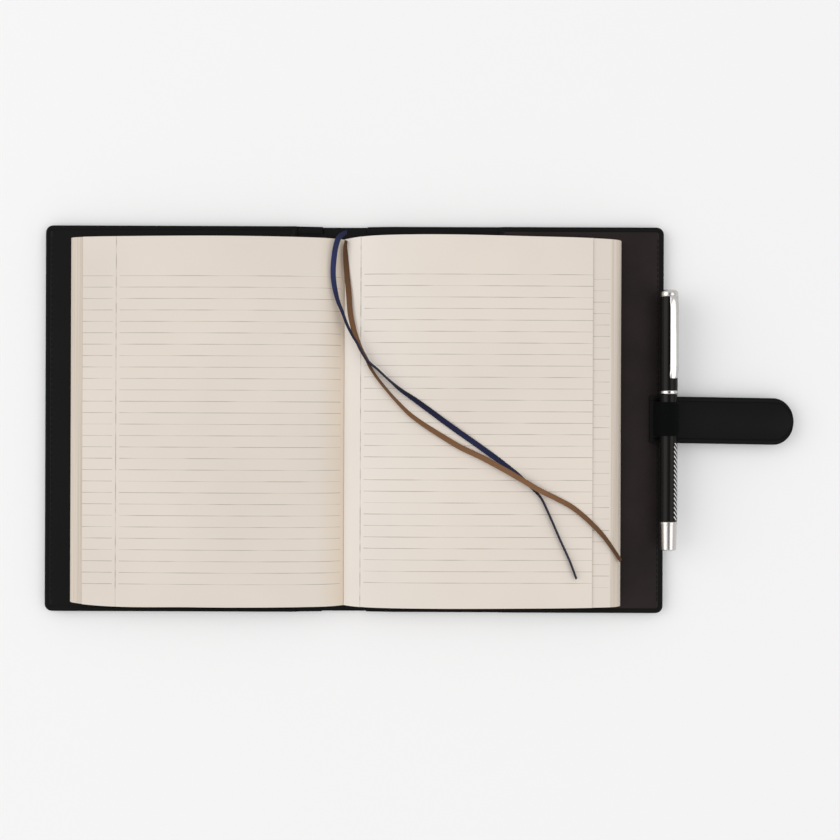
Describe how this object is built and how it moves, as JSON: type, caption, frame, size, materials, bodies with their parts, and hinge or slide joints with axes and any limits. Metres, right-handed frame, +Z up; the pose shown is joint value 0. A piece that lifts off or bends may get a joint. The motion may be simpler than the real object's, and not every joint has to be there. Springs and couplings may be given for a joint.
{
  "type": "leather notebook cover",
  "caption": "Open leather notebook cover with ruled notebook, two ribbon bookmarks, strap closure and capped pen in a loop.",
  "frame": {"origin": "centre of the open cover's footprint, strap included, on the surface it lies on", "axes": "+X towards the strap, +Y towards the head of the pages, +Z up"},
  "size_m": [0.408, 0.2106, 0.0205],
  "materials": {
    "leather": "smooth black leather, satin",
    "panel": "smooth very dark brown-black leather",
    "lining": "matt black lining",
    "board": "grey board",
    "book_cover": "black covered board",
    "paper": "cream ruled paper, matt",
    "navy_ribbon": "navy satin ribbon",
    "brown_ribbon": "brown satin ribbon",
    "loop": "matt black elastic",
    "gunmetal": "gloss dark gunmetal lacquer",
    "chrome": "polished chrome",
    "black_plastic": "black moulded plastic"
  },
  "bodies": {
    "back_cover": {"back_leather": "leather", "back_stiffener": "board", "back_lining": "lining", "back_rim_head": "leather", "back_rim_tail": "leather", "back_rim_fore": "leather", "back_pocket": "panel", "book_board_back": "book_cover", "strap_anchor": "leather", "pen_loop": "loop", "pages_right_base": "paper", "pages_right_top": "paper", "pages_right_folds": "paper", "ribbon_navy": "navy_ribbon", "ribbon_brown": "brown_ribbon"},
    "spine": {"spine_leather": "leather", "spine_lining": "lining", "book_spine_card": "book_cover"},
    "front_cover": {"front_leather": "leather", "front_stiffener": "board", "front_lining": "lining", "front_rim_head": "leather", "front_rim_tail": "leather", "front_rim_fore": "leather", "front_pocket": "panel", "book_board_front": "book_cover", "pages_left_base": "paper", "pages_left_top": "paper", "pages_left_folds": "paper"},
    "turning_leaf": {"leaf": "paper"},
    "strap_riser": {"strap_riser": "leather"},
    "strap_tip": {"strap_tip": "leather"},
    "pen": {"pen_barrel": "gunmetal", "pen_hatch_strip": "chrome", "pen_ferrule": "chrome", "pen_grip": "black_plastic", "pen_writing_tip": "chrome"},
    "pen_cap": {"cap_ring": "chrome", "cap_tube": "gunmetal", "cap_crown": "chrome"},
    "pen_clip": {"pen_clip": "chrome"}
  },
  "joints": [
    {"name": "cover_close", "type": "hinge", "parent": "back_cover", "child": "spine", "pos_m": [-0.0317, 0, 0.0036], "axis": [0, 1, 0], "range_deg": [0, 90], "deforming": ["pages_right_top", "pages_right_folds", "pages_left_top", "pages_left_folds", "leaf", "ribbon_navy", "ribbon_brown"]},
    {"name": "front_fold", "type": "hinge", "parent": "spine", "child": "front_cover", "pos_m": [-0.0497, 0, 0.0036], "axis": [0, 1, 0], "range_deg": [0, 90]},
    {"name": "leaf_turn", "type": "hinge", "parent": "back_cover", "child": "turning_leaf", "pos_m": [-0.0407, 0, 0.012], "axis": [0, 1, 0], "range_deg": [-150, 0]},
    {"name": "strap_fold", "type": "hinge", "parent": "back_cover", "child": "strap_riser", "pos_m": [0.1415, 0, 0.0077], "axis": [0, -1, 0], "range_deg": [0, 90]},
    {"name": "strap_tip_fold", "type": "hinge", "parent": "strap_riser", "child": "strap_tip", "pos_m": [0.1593, 0, 0.0077], "axis": [0, -1, 0], "range_deg": [0, 90]},
    {"name": "pen_slide", "type": "slide", "parent": "back_cover", "child": "pen", "axis": [0, 1, 0], "range_m": [0, 0.085]},
    {"name": "cap_pull", "type": "slide", "parent": "pen", "child": "pen_cap", "axis": [0, 1, 0], "range_m": [0, 0.055]},
    {"name": "clip_flex", "type": "hinge", "parent": "pen_cap", "child": "pen_clip", "pos_m": [0.13639, 0.0648, 0.01955], "axis": [-0.9613, 0, 0.2756], "range_deg": [0, 4], "stiffness_Nm_per_rad": 0.5}
  ],
  "couplings": [
    {"joint": "front_fold", "follows": "cover_close", "ratio": 1}
  ]
}
